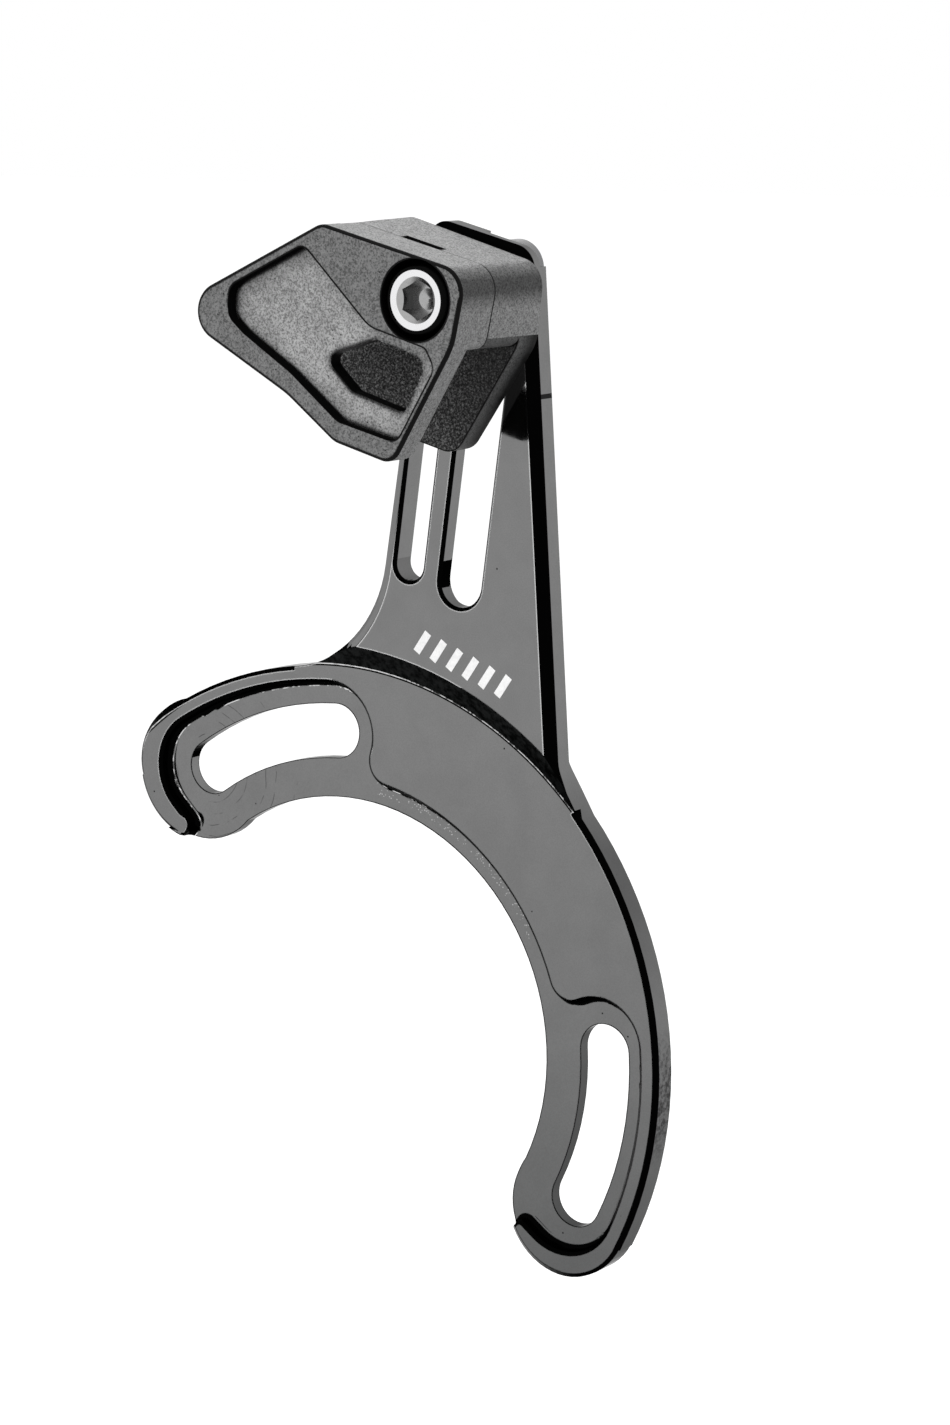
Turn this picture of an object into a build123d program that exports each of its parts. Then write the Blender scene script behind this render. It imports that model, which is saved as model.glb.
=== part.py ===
# Upper chain guide for a mountain bike, bolted to the three-hole circle round the crank axle.
# Millimetres. +Z is up and -Y is outwards, towards the chain and the person looking at it.
# The origin is on the crank axle, in the plane where the plate lies on the frame's tabs.
# A distance "out" is measured from that plane towards -Y.
import os
from math import asin, atan2, cos, degrees, radians, sin

from build123d import *

# Arc of the backplate, round the crank axle
bolt_circle_radius = 36.5
arc_half_width = 8.1
arc_thickness = 3.3
slot_width = 6.6
upper_slot_angles = (92.8, 124.6)
lower_slot_angles = (3.2, -26.9)
ledge_width = 2.85
pocket_depth = 1.7
pocket_rim_chamfer = 0.4
pocket_floor_radius = 0.8
pocket_neck_radius = 3.0
rim_end_depth = 4.3
rim_tip_radius = 0.9
rim_tip_turn = 15.0

# Outer edges of the two arms: circles that touch the arc's own and lie off the axle
upper_edge_centre = (0.0, -5.0)
lower_edge_centre = (-1.9, 0.0)
upper_edge_start = 80.0
lower_edge_start = 42.0
upper_chamfer = 0.48
lower_chamfer = 0.6
upper_chamfer_start = 98.0
lower_chamfer_start = 41.0

# Round arm ends, as (distance past the bolt circle, angle, radius)
upper_cap = (2.1, 128.4, 6.9)
upper_toe = (0.55, 126.4, 8.9)
lower_cap = (0.0, -28.45, 8.2)
lower_toe = (-0.2, -29.5, 7.95)
upper_cap_chamfer = 0.4
lower_cap_chamfer = 0.45

# Pockets round the curved slots: ends as (distance past the bolt circle, angle)
upper_pocket_ends = ((0.0, 92.8), (0.0, 124.6))
lower_pocket_ends = ((0.0, 4.7), (-0.85, -26.65))
upper_pocket_reach = 6.1
lower_pocket_reach = 5.6
upper_wall_centre = (0.0, -4.0)
lower_wall_centre = (-2.3, 0.0)

# Mast of the backplate, which stands out in front of the arc
plate_stock = 5.0
mast_thickness = 3.2
step_foot_margin = 0.4
step_run = 2.7
mast_left_foot = (4.95, 43.5)
mast_left_lean = 9.2
mast_right_foot = (31.4, 37.9)
mast_right_lean = -3.4
mast_top_middle = (21.25, 96.85)
mast_top_slope = -14.2
mast_top_left_radius = 2.5
mast_top_right_radius = 3.0
mast_left_blend = 16.0
kink_height = 35.6
kink_radius = 5.0
shoulder_angle = 39.5
mast_right_chamfer = 0.9
mast_left_chamfer = 0.5

# Slots of the mast
mast_slot_lean = 8.0
clamp_slot_foot = (18.35, 56.2)
clamp_slot_travel = 35.3
clamp_slot_width = 5.6
guide_slot_spacing = 7.36
guide_slot_rise = 0.7
guide_slot_travel = 36.8
guide_slot_width = 3.8
slot_edge_chamfer = 0.4
channel_width = 6.9
channel_depth = 1.2
rear_land_height = 93.2

# Chain cage, with its corners measured from the bolt's axis as (across, up, radius)
cage_rest_travel = 34.3
cage_depth = 16.0
outer_plate_thickness = 3.4
inner_plate_thickness = 3.3
parting_out = 9.2
cage_corners = [
    (-12.9, 8.2, 2.5),
    (-34.6, -2.1, 3.4),
    (-17.9, -11.3, 12.0),
    (-11.3, -16.4, 3.0),
    (-3.2, -18.6, 2.2),
    (5.0, -5.0, 8.0),
    (6.8, 3.2, 3.2),
]
cage_back_corners = [
    (-11.6, 8.5, 2.5),
    (-34.6, -2.1, 3.4),
    (-17.9, -11.3, 12.0),
    (-11.3, -16.4, 3.0),
    (-3.1, -18.5, 2.6),
    (6.0, -5.3, 7.0),
    (6.8, 3.3, 3.2),
]
roof_thickness = 3.2
roof_left = -12.4
boss_radius = 5.7
boss_foot_radius = 1.7
cage_edge_radius = 0.4
face_pocket_depth = 1.5
face_pocket_corners = [
    (-15.3, 5.7, 1.2),
    (-25.8, 0.7, 2.0),
    (-26.1, -2.7, 2.0),
    (-23.9, -4.6, 2.5),
    (-17.3, -8.8, 8.0),
    (-10.7, -14.1, 2.2),
    (-2.7, -16.1, 1.8),
    (2.5, -7.5, 1.5),
    (1.3, -5.3, 1.0),
    (-6.3, -3.2, 4.0),
]
window_corners = [
    (-13.5, -6.9, 1.0),
    (-6.3, -4.7, 1.5),
    (0.7, -6.7, 1.6),
    (-2.4, -12.8, 1.0),
    (-9.6, -10.7, 1.2),
]
roof_slit_length = 5.2
roof_slit_width = 1.2
roof_slit_depth = 1.0
roof_slit_left = -6.5
tongue_height = 1.4
tongue_length = 3.4
tongue_clearance = 0.1

# Rib on the inner half and the clearances in the mast slots
rib_length = 8.0
rib_height = 2.4
rib_clearance = 0.1
nut_clearance = 0.1
nut_length = 12.0
nut_height = 2.8

# M5 socket head cap screw
bolt_diameter = 5.0
bolt_tip_out = 0.9
head_diameter = 8.5
head_height = 5.0
head_chamfer = 0.5
hex_across_flats = 4.0
hex_depth = 2.5
hex_mouth_diameter = 5.3
hex_drill_diameter = 2.4
counterbore_diameter = 9.2
bolt_hole_diameter = 5.4
thread_clearance = 0.02
bolt_tip_chamfer = 0.6

# Places that follow from the sizes above
arc_inner_radius = bolt_circle_radius - arc_half_width
arc_outer_radius = bolt_circle_radius + arc_half_width
step_inner_radius = arc_outer_radius + step_foot_margin
step_outer_radius = step_inner_radius + step_run
rim_end_radius = bolt_circle_radius - rim_end_depth
arc_out = arc_thickness
mast_out = plate_stock
mast_back_out = plate_stock - mast_thickness
pocket_floor_out = arc_thickness - pocket_depth
slot_direction = Vector(sin(radians(mast_slot_lean)), cos(radians(mast_slot_lean)))
slot_across = Vector(cos(radians(mast_slot_lean)), -sin(radians(mast_slot_lean)))
clamp_slot_start = Vector(*clamp_slot_foot)
bolt_place = clamp_slot_start + slot_direction * cage_rest_travel
rib_place = bolt_place - slot_across * guide_slot_spacing
guide_slot_start = clamp_slot_start - slot_across * guide_slot_spacing + slot_direction * guide_slot_rise
cage_back_out = mast_out
cage_front_out = mast_out + cage_depth
parting_plane_out = cage_back_out + parting_out
counterbore_depth = head_height + 0.1
head_front_out = cage_front_out - 0.1
bolt_length = head_front_out - head_height - bolt_tip_out


def polar(radius, angle):
    """Point on a circle round the crank axle, in the plane of the plate."""
    return (radius * cos(radians(angle)), radius * sin(radians(angle)))


def leaning(foot, lean, height):
    """Point at a height on a line that starts at foot and leans right by lean degrees."""
    return (foot[0] + (height - foot[1]) * sin(radians(lean)) / cos(radians(lean)), height)


def slab(outline, back, front):
    """Solid between two distances out, with the outline drawn in X and Z."""
    return extrude(Plane.XZ.offset(back) * outline, amount=front - back)


def corner_fillet(outline, place, radius):
    """Round the outline's corner nearest to a place."""
    corner = min(outline.vertices(), key=lambda v: (Vector(v.X, v.Y) - Vector(*place)).length)
    return fillet(corner, radius)


def rounded_polygon(corners):
    """Face from corners given as (x, z, radius)."""
    outline = make_face(Polyline([(x, z) for x, z, _ in corners], close=True))
    for x, z, radius in corners:
        outline = corner_fillet(outline, (x, z), radius)
    return outline


def wedge(start, end, radius):
    """Pie slice round the crank axle, for spans of less than half a turn."""
    middle = (start + end) / 2
    rim = ThreePointArc(polar(radius, start), polar(radius, middle), polar(radius, end))
    return make_face([Line((0, 0), polar(radius, start)), rim, Line(polar(radius, end), (0, 0))])


def ring_sector(inner, outer, start, end):
    """Part of a flat ring round the crank axle."""
    return wedge(start, end, outer) - Circle(inner)


def arc_slot(angles, half_width):
    """Curved slot on the bolt circle with round ends, given its end angles."""
    band = ring_sector(bolt_circle_radius - half_width, bolt_circle_radius + half_width, *angles)
    for angle in angles:
        band += Pos(*polar(bolt_circle_radius, angle)) * Circle(half_width)
    return band


def straight_slot(start, travel, width):
    """Slot along the mast from the middle of its lower end."""
    middle = start + slot_direction * (travel / 2)
    shape = SlotCenterToCenter(travel, width, rotation=90 - mast_slot_lean)
    return Pos(middle.X, middle.Y) * shape


def far_turn(angles):
    """Direction from a slot's near end to its far end, as 1 or -1."""
    return 1 if angles[1] > angles[0] else -1


def off_circle(place):
    """Point given as (distance past the bolt circle, angle)."""
    return polar(bolt_circle_radius + place[0], place[1])


def arm_end(cap, toe):
    """Round end of an arm: the cap at its outer corner and the toe at its inner one."""
    circles = [Pos(*off_circle(circle)) * Circle(circle[2]) for circle in (cap, toe)]
    return make_hull(circles[0].edges() + circles[1].edges())


def arm_edge_radius(centre):
    """Radius of the circle round centre that touches the arc's own outer circle."""
    return arc_outer_radius + Vector(*centre).length


def arm_band(centre, start, end):
    """Sector of the arm under its outer edge circle."""
    disc = Pos(*centre) * Circle(arm_edge_radius(centre))
    return disc & ring_sector(arc_inner_radius, 2 * arc_outer_radius, start, end)


def arc_outline():
    """C-shaped arc, from the end of the lower arm round to the end of the upper arm."""
    outline = ring_sector(arc_inner_radius, arc_outer_radius, lower_cap[1], upper_cap[1])
    outline += arm_band(upper_edge_centre, upper_edge_start, upper_cap[1])
    outline += arm_band(lower_edge_centre, lower_cap[1], lower_edge_start)
    return outline + arm_end(upper_cap, upper_toe) + arm_end(lower_cap, lower_toe)


def mast_top_height(x):
    return mast_top_middle[1] + (x - mast_top_middle[0]) * sin(radians(mast_top_slope)) / cos(
        radians(mast_top_slope)
    )


def line_crossing_top(foot, lean):
    """Where a leaning side of the mast meets its sloping top."""
    height = mast_top_middle[1]
    for _ in range(8):
        height = mast_top_height(leaning(foot, lean, height)[0])
    return leaning(foot, lean, height)


def mast_outline():
    """Tapered mast, whose right side bends out to meet the lower arm's outer edge."""
    shoulder = polar(arc_outer_radius, shoulder_angle)
    top_left = line_crossing_top(mast_left_foot, mast_left_lean)
    top_right = line_crossing_top(mast_right_foot, mast_right_lean)
    kink = leaning(mast_right_foot, mast_right_lean, kink_height)
    middle_radius = (arc_inner_radius + arc_outer_radius) / 2
    right_root = polar(middle_radius, shoulder_angle)
    left_root = polar(middle_radius, 90)
    left_foot_root = (mast_left_foot[0], left_root[1])
    corners = [left_root, left_foot_root, mast_left_foot, top_left, top_right, kink, shoulder, right_root]
    outline = make_face(Polyline(corners, close=True))
    outline = corner_fillet(outline, top_left, mast_top_left_radius)
    outline = corner_fillet(outline, top_right, mast_top_right_radius)
    return corner_fillet(outline, kink, kink_radius)


def plate_outline():
    outline = arc_outline() + mast_outline()
    return corner_fillet(outline, mast_left_foot, mast_left_blend)


def front_step():
    """Everything in front of the arc, inside the cone up to the mast's face."""
    slope = (step_outer_radius - step_inner_radius) / (mast_out - arc_out)
    margin = 1.0
    outer = step_outer_radius + slope * margin
    profile = make_face(Polyline(
        [(0, arc_out), (step_inner_radius, arc_out), (outer, mast_out + margin), (0, mast_out + margin)],
        close=True,
    ))
    return revolve(Plane.XY * mirror(profile, about=Plane.XZ), axis=Axis.Y)


def rear_step():
    """Everything behind the mast, outside the matching cone on the back."""
    slope = (step_outer_radius - step_inner_radius) / (mast_out - arc_out)
    margin = 1.0
    inner = step_inner_radius
    outer = inner + slope * mast_back_out
    reach = 3 * arc_outer_radius
    profile = make_face(Polyline(
        [(inner - slope * margin, -margin), (outer, mast_back_out), (reach, mast_back_out), (reach, -margin)],
        close=True,
    ))
    return revolve(Plane.XY * mirror(profile, about=Plane.XZ), axis=Axis.Y)


def pocket_outline(ends, reach, wall_centre):
    """Pocket round a curved slot, open to the inside of the arc past the slot's far end."""
    near, far = (Vector(*off_circle(end)) for end in ends)
    from_wall = [end - Vector(*wall_centre) for end in (near, far)]
    wall_angles = [degrees(atan2(arm.Y, arm.X)) for arm in from_wall]
    wall_radius = from_wall[0].length + reach
    far_reach = wall_radius - from_wall[1].length
    spread = degrees(asin(far_reach / far.length))
    turn = far_turn(wall_angles)
    far_angle = ends[1][1] + turn * spread
    outline = Pos(*wall_centre) * wedge(*wall_angles, wall_radius)
    outline += Pos(near.X, near.Y) * Circle(reach)
    outline += Pos(far.X, far.Y) * Circle(far_reach)
    inside = arc_inner_radius / 2
    outline += ring_sector(inside, far.length * cos(radians(spread)), ends[1][1], far_angle)
    outline += ring_sector(inside, rim_end_radius, ends[1][1], far_angle + turn * rim_tip_turn)
    return corner_fillet(outline, polar(rim_end_radius, far_angle), rim_tip_radius)


def flared_cutter(outline, back, front, flare):
    """Cutter with straight walls that open at 45 degrees just under the face at front."""
    mouth = extrude(Plane.XZ.offset(front - flare) * outline, amount=flare + flare, taper=-45)
    return slab(outline, back, front) + mouth


def arc_pockets():
    """Both pockets and the ledge along the arc's inner edge, as one cutter."""
    ledge_radius = arc_inner_radius + ledge_width
    arms = (
        (upper_pocket_ends, upper_pocket_reach, upper_wall_centre),
        (lower_pocket_ends, lower_pocket_reach, lower_wall_centre),
    )
    outline = ring_sector(
        arc_inner_radius / 2, ledge_radius, lower_pocket_ends[1][1], upper_pocket_ends[1][1]
    )
    for ends, reach, wall_centre in arms:
        outline += pocket_outline(ends, reach, wall_centre)
    outline -= Circle(arc_inner_radius / 2)
    for ends, reach, _ in arms:
        turn = far_turn((ends[0][1], ends[1][1]))
        neck = polar(ledge_radius, ends[0][1] - turn * degrees(reach / bolt_circle_radius))
        outline = corner_fillet(outline, neck, pocket_neck_radius)
    cutter = flared_cutter(outline, pocket_floor_out, arc_out, pocket_rim_chamfer)
    return fillet(cutter.edges().group_by(Axis.Y)[-1], pocket_floor_radius)


def chamfer_cutter(centre, radius, start, end):
    """Ring that bevels the arc's face outside a circle, from one angle down to another."""
    spare = 2.0
    profile = make_face(Polyline(
        [
            (radius, -arc_out - spare),
            (radius, -arc_out),
            (radius + spare, -arc_out + spare),
            (radius + spare, -arc_out - spare),
        ],
        close=True,
    ))
    ring = revolve(profile, axis=Axis.Y, revolution_arc=start - end)
    return Pos(centre[0], 0, centre[1]) * Rot(0, -start, 0) * ring


def arm_chamfer(edge_centre, size, start, cap, cap_size):
    """Bevel of an arm's outer edge and of its round end."""
    turn = far_turn((start, cap[1]))
    end = cap[1]
    side_radius = arm_edge_radius(edge_centre) - size
    half_turn = end + turn * 150
    bevel = chamfer_cutter(edge_centre, side_radius, max(start, end), min(start, end))
    cap_end = (max(end, half_turn), min(end, half_turn))
    return bevel + chamfer_cutter(off_circle(cap), cap[2] - cap_size, *cap_end)


def mast_front_edges(plate, on_right):
    """Front edges of the mast: those of its right side and top, or those of its left side."""
    split = mast_top_middle[0] - 2 * mast_top_left_radius
    lowest = polar(arc_outer_radius, shoulder_angle)[1] + 1 if on_right else arc_outer_radius
    edges = plate.edges().group_by(Axis.Y)[0]
    return [edge for edge in edges if (edge.center().X > split) == on_right and edge.center().Z > lowest]


def backplate():
    """The one-piece milled plate: arc, mast, slots, pockets and the channel for the nut."""
    plate = slab(plate_outline(), 0, mast_out)
    plate = chamfer(mast_front_edges(plate, True), mast_right_chamfer)
    plate = chamfer(mast_front_edges(plate, False), mast_left_chamfer)
    plate -= front_step()
    plate -= rear_step()
    plate -= arm_chamfer(upper_edge_centre, upper_chamfer, upper_chamfer_start, upper_cap, upper_cap_chamfer)
    plate -= arm_chamfer(lower_edge_centre, lower_chamfer, lower_chamfer_start, lower_cap, lower_cap_chamfer)
    plate -= arc_pockets()
    for angles in (upper_slot_angles, lower_slot_angles):
        plate -= slab(arc_slot(angles, slot_width / 2), -1, mast_out)
    clamp_slot = straight_slot(clamp_slot_start, clamp_slot_travel, clamp_slot_width)
    guide_slot = straight_slot(guide_slot_start, guide_slot_travel, guide_slot_width)
    for slot in (clamp_slot, guide_slot):
        plate -= flared_cutter(slot, 0, mast_out, slot_edge_chamfer)
    channel = straight_slot(clamp_slot_start, clamp_slot_travel + arc_outer_radius, channel_width)
    channel += Pos(bolt_place.X + arc_outer_radius / 2, rear_land_height + arc_outer_radius / 2) * Rectangle(
        arc_outer_radius, arc_outer_radius
    )
    plate -= slab(channel, 0, mast_back_out + channel_depth)
    return plate


def cage_face(corners):
    """Outline given from the bolt's axis, moved to where the cage sits on the mast."""
    return Pos(bolt_place.X, bolt_place.Y) * rounded_polygon(corners)


def bridge_region():
    """Where the two halves reach across the chain: the roof, the boss round the bolt and the right wall."""
    top_left = Vector(*cage_corners[0][:2])
    top_right = Vector(*cage_corners[-1][:2])
    slope = (top_right.Y - top_left.Y) / (top_right.X - top_left.X)
    drop = roof_thickness / cos(atan2(top_left.Y - top_right.Y, top_right.X - top_left.X))
    underside = top_left.Y - drop
    right = top_right.X + roof_thickness
    above = top_left.Y + roof_thickness
    strip = make_face(Polyline(
        [
            (roof_left, underside + slope * (roof_left - top_left.X)),
            (right, underside + slope * (right - top_left.X)),
            (right, above),
            (roof_left, above),
        ],
        close=True,
    ))
    wall = make_face(Polyline([(0, -boss_radius), (right, -boss_radius), (right, above), (0, above)], close=True))
    return strip + wall + Circle(boss_radius)


def cage_bridge():
    """The bridge inside the cage's outline, with a round foot on its right."""
    bridge = rounded_polygon(cage_corners) & bridge_region()
    bridge = corner_fillet(bridge, (cage_corners[-2][0], -boss_radius), boss_foot_radius)
    return Pos(bolt_place.X, bolt_place.Y) * bridge


def roof_block(length, height, top, back, front, margin=0.0):
    """Block that follows the slope of the roof, with its top a set depth below the surface."""
    top_left = Vector(*cage_corners[0][:2])
    top_right = Vector(*cage_corners[-1][:2])
    slope = atan2(top_right.Y - top_left.Y, top_right.X - top_left.X)
    run = roof_slit_left + roof_slit_length / 2 - top_left.X
    middle = top_left + Vector(run, run * sin(slope) / cos(slope))
    block = Pos(0, -top - height / 2) * Rectangle(length + 2 * margin, height + 2 * margin)
    placed = Pos(bolt_place.X + middle.X, bolt_place.Y + middle.Y) * Rot(0, 0, degrees(slope)) * block
    return slab(placed, back - margin, front)


def tongue(margin=0.0):
    """Tongue of the outer half that keeps the two halves in line."""
    top = roof_slit_depth - 0.1
    return roof_block(
        roof_slit_length, tongue_height, top, parting_plane_out - tongue_length, parting_plane_out, margin
    )


def bolt_bore(diameter, back, front):
    return slab(Pos(bolt_place.X, bolt_place.Y) * Circle(diameter / 2), back, front)


def outer_guide():
    """Outer half of the cage: face plate, front of the bridge, pocket, window and bolt seat."""
    plate_back = cage_front_out - outer_plate_thickness
    half = slab(cage_face(cage_corners), plate_back, cage_front_out)
    half = fillet(half.edges().group_by(Axis.Y)[0], cage_edge_radius)
    half += slab(cage_bridge(), parting_plane_out, plate_back)
    half -= slab(cage_face(face_pocket_corners), cage_front_out - face_pocket_depth, cage_front_out + 1)
    half -= slab(cage_face(window_corners), plate_back - 1, cage_front_out)
    half += tongue()
    half -= bolt_bore(bolt_hole_diameter, cage_back_out, cage_front_out)
    half -= bolt_bore(counterbore_diameter, cage_front_out - counterbore_depth, cage_front_out + 1)
    return half


def inner_guide():
    """Inner half, a little wider towards the mast, with the rib that rides in the narrow slot."""
    plate_front = cage_back_out + inner_plate_thickness
    back = Plane.XZ.offset(cage_back_out) * cage_face(cage_back_corners)
    front = Plane.XZ.offset(parting_plane_out) * cage_face(cage_corners)
    half = loft([back, front], ruled=True)
    passage = Pos(bolt_place.X, bolt_place.Y) * (Circle(2 * cage_depth + head_diameter) - bridge_region())
    half -= slab(passage, plate_front, parting_plane_out)
    middle_out = (plate_front + parting_plane_out) / 2
    foot = Vector(bolt_place.X + cage_corners[-2][0], -middle_out, bolt_place.Y - boss_radius)
    half = fillet(min(half.edges(), key=lambda edge: (edge.center() - foot).length), boss_foot_radius)
    half -= tongue(tongue_clearance)
    half -= roof_block(
        roof_slit_length, roof_slit_depth + 1, -1, parting_plane_out - roof_slit_width, parting_plane_out + 1
    )
    rib_width = guide_slot_width - 2 * rib_clearance
    rib_shape = SlotOverall(rib_length, rib_width, rotation=90 - mast_slot_lean)
    half += slab(Pos(rib_place.X, rib_place.Y) * rib_shape, cage_back_out - rib_height, cage_back_out)
    half -= bolt_bore(bolt_hole_diameter, 0, cage_front_out)
    return half


def clamp_bolt():
    """M5 socket head cap screw, its head flush in the outer half."""
    head = bolt_bore(head_diameter, head_front_out - head_height, head_front_out)
    head = chamfer(head.edges().group_by(Axis.Y)[0], head_chamfer)
    shank = bolt_bore(bolt_diameter, head_front_out - head_height - bolt_length, head_front_out - head_height)
    shank = chamfer(shank.edges().group_by(Axis.Y)[-1], bolt_tip_chamfer)
    centre = Pos(bolt_place.X, bolt_place.Y)
    hexagon = centre * RegularPolygon(hex_across_flats / 2, 6, major_radius=False, rotation=30)
    screw = head + shank
    screw -= slab(hexagon, head_front_out - hex_depth, head_front_out + 1)
    mouth_depth = (hex_mouth_diameter - hex_across_flats) / 2
    mouth = Cone(hex_mouth_diameter / 2, hex_across_flats / 2, mouth_depth)
    point = Cone(hex_drill_diameter / 2, 0, hex_drill_diameter / 4)
    for cone, out, depth in ((mouth, head_front_out, mouth_depth), (point, head_front_out - hex_depth, None)):
        height = depth if depth else hex_drill_diameter / 4
        screw -= Pos(bolt_place.X, -out + height / 2, bolt_place.Y) * Rot(-90, 0, 0) * cone
    return screw


def slot_nut():
    """Flat nut that slides in the channel behind the wide slot and cannot turn there."""
    width = channel_width - 2 * nut_clearance
    shape = SlotOverall(nut_length, width, rotation=90 - mast_slot_lean)
    front = mast_back_out + channel_depth
    nut = slab(Pos(bolt_place.X, bolt_place.Y) * shape, front - nut_height, front)
    return nut - bolt_bore(bolt_diameter + 2 * thread_clearance, -1, cage_front_out)


os.makedirs("parts", exist_ok=True)
for make in (backplate, outer_guide, inner_guide, clamp_bolt, slot_nut):
    export_step(make(), f"parts/{make.__name__}.step")
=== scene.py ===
"""Finishes, printed mark and studio for the chain guide. Metres, +Z up, -Y outwards."""
from collections import namedtuple
from math import cos, radians, sin

import bmesh
import bpy
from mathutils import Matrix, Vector


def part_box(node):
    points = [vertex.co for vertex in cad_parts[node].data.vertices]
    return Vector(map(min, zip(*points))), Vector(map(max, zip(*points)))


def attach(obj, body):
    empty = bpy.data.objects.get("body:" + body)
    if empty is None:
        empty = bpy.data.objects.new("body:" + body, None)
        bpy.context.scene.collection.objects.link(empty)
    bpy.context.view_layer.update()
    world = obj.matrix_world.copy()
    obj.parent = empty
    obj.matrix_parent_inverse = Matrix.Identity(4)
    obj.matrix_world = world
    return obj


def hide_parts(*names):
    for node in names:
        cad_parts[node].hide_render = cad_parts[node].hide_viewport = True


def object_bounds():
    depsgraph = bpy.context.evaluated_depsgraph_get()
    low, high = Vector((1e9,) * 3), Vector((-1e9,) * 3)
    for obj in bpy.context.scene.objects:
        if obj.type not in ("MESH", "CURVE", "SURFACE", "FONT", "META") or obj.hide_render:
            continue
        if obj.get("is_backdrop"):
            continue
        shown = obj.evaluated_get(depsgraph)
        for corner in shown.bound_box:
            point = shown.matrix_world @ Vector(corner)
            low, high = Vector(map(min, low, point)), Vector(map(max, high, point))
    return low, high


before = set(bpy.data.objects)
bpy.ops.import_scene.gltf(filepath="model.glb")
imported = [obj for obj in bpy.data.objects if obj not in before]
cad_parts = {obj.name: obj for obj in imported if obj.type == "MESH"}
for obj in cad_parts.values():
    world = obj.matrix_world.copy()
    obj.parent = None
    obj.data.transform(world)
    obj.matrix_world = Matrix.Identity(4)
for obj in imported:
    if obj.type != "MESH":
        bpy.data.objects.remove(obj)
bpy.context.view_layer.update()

bl_info = {
    "name": "Chain guide finishes",
    "version": (1, 0, 0),
    "blender": (4, 5, 0),
    "location": "3D View > Sidebar > Chain guide",
    "description": "Black anodised plate, moulded cage, steel screw, printed bars and studio",
    "category": "Object",
}

MM = 0.001
PLATE_FACE_OUT = -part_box("backplate")[0].y
CAGE_FACE_OUT = -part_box("outer_guide")[0].y
PARTING_OUT = -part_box("inner_guide")[0].y
BOLT_AXIS = (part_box("clamp_bolt")[0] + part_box("clamp_bolt")[1]) / 2
PLATE_MATERIAL = "Black anodised aluminium"

# Regions of the plate in millimetres: across (x), up (z), out from the frame's tabs and
# reach from the crank axle, each as (from, to) with None for an open end
STEP_FOOT = 45.0
ARMS = {"z": (None, 44)}
LOW_FACES = {"out": (None, 2.4)}
POCKET_FLOOR = {"out": (0.8, 2.4)}
POCKET_WALL = {"reach": (29.5, 43.4), "out": (1.6, None)}
LEDGE_FLECKS = {"x": (4, 26), "z": (14, None), "reach": (29.5, 31.0)}
LEDGE_LINE = {"x": (-1, 30), "z": (8, None), "out": (3, None), "reach": (28, 38)}
MAST_LEFT = {"x": (2, 13), "z": (46, None)}
MAST_SLOT_FEET = {"x": (None, 24), "z": (45, 58.5)}
CLAMP_SLOT_FOOT = {"x": (14.6, 18.0), "z": (55.5, 58.7)}
CURVED_SLOT_END = {"x": (None, -22.0), "z": (30.9, 34.5)}
CURVED_SLOT_WALL = {"out": (None, 1.6), "reach": (32.5, 41)}
ARM_TOP = {"z": (None, 70), "reach": (40, None)}
OUTER_RIM = {"reach": (41, None)}
NICK = {"x": (26, None), "z": (78.2, 78.75)}
STEP_LIGHT_LINE = {"out": (None, 3.6), "reach": (STEP_FOOT - 0.14, STEP_FOOT + 0.02)}
STEP_DARK_LINE = {"out": (None, 3.6), "reach": (STEP_FOOT - 0.34, STEP_FOOT - 0.14)}
TOOL_CENTRE = Vector((-20.7, 0, 30.0)) * MM
TOOL_MARK_REACH = 13

# How squarely the plate's parts face out: 1 on a flat face, 0 on a wall
WALL_UP_TO = 0.30
STEP_SLOPE = (0.82, 0.87)
BEVEL_UP_TO = 0.93
FLAT_FROM = 0.95
FLOOR_FILLET_FOOT = (0.955, 0.992)
STRIP = 0.970
UNLIT_STRIP = 0.996
LEDGE_STRIP = 0.9992
LIGHT_LINE = (0.972, 0.9985)

# Round end of the upper arm in millimetres, with its centres as (x, z) and its turns in degrees
TOE_CENTRE = (-21.99, 29.82)
TOE_RADIUS = 8.9
CAP_CENTRE = (-23.98, 30.25)
FILL_INNER_RADIUS = 6.2
FILL_TURNS = (190.0, 254.5)
FILL_STEPS = 24
FILL_TIP = ((-23.95, 21.62), (-23.62, 22.05), (-23.45, 22.5), (-23.42, 22.9), (-23.55, 23.25),
            (-23.8, 23.6))
# Distance out of each ring, and how far the bevel draws its outside in
FILL_RINGS = ((1.2, 0.0), (2.9, 0.0), (3.3, 0.4))
MERGE_DISTANCE = 0.0001

# Places on the cage and its bolt, in millimetres from the bolt's axis
POCKET_DEPTH = 1.5
POCKET_MIDDLE = BOLT_AXIS + Vector((-17, 0, -5)) * MM
WINDOW_MIDDLE = BOLT_AXIS + Vector((-6.3, 0, -8.8)) * MM
ROOF_SLIT = (-6.6, -1.1)
FRONT_EDGE = {"out": (20.55, None)}
FRONT_BRIM = {"out": (20.9, None)}
POCKET_SIDES = {"out": (19.4, 21.0)}
WINDOW_SIDES = {"out": (None, 19.6), "reach": (None, 7.45)}
HEAD_GAP = {"out": (15, None), "reach": (None, 4.75)}
CHAIN_FACE = {"out": (7.5, 9.5)}
CHAIN_FACE_RIM = {"out": (7.7, 8.6)}
UNDERSIDE = {"z": (None, -4.5)}
SOCKET = {"out": (15, None), "reach": (None, 2.6)}
HEAD_SIDE = {"out": (15, None), "reach": (3.38, None)}
BOLT_END = {"out": (None, 4)}

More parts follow.
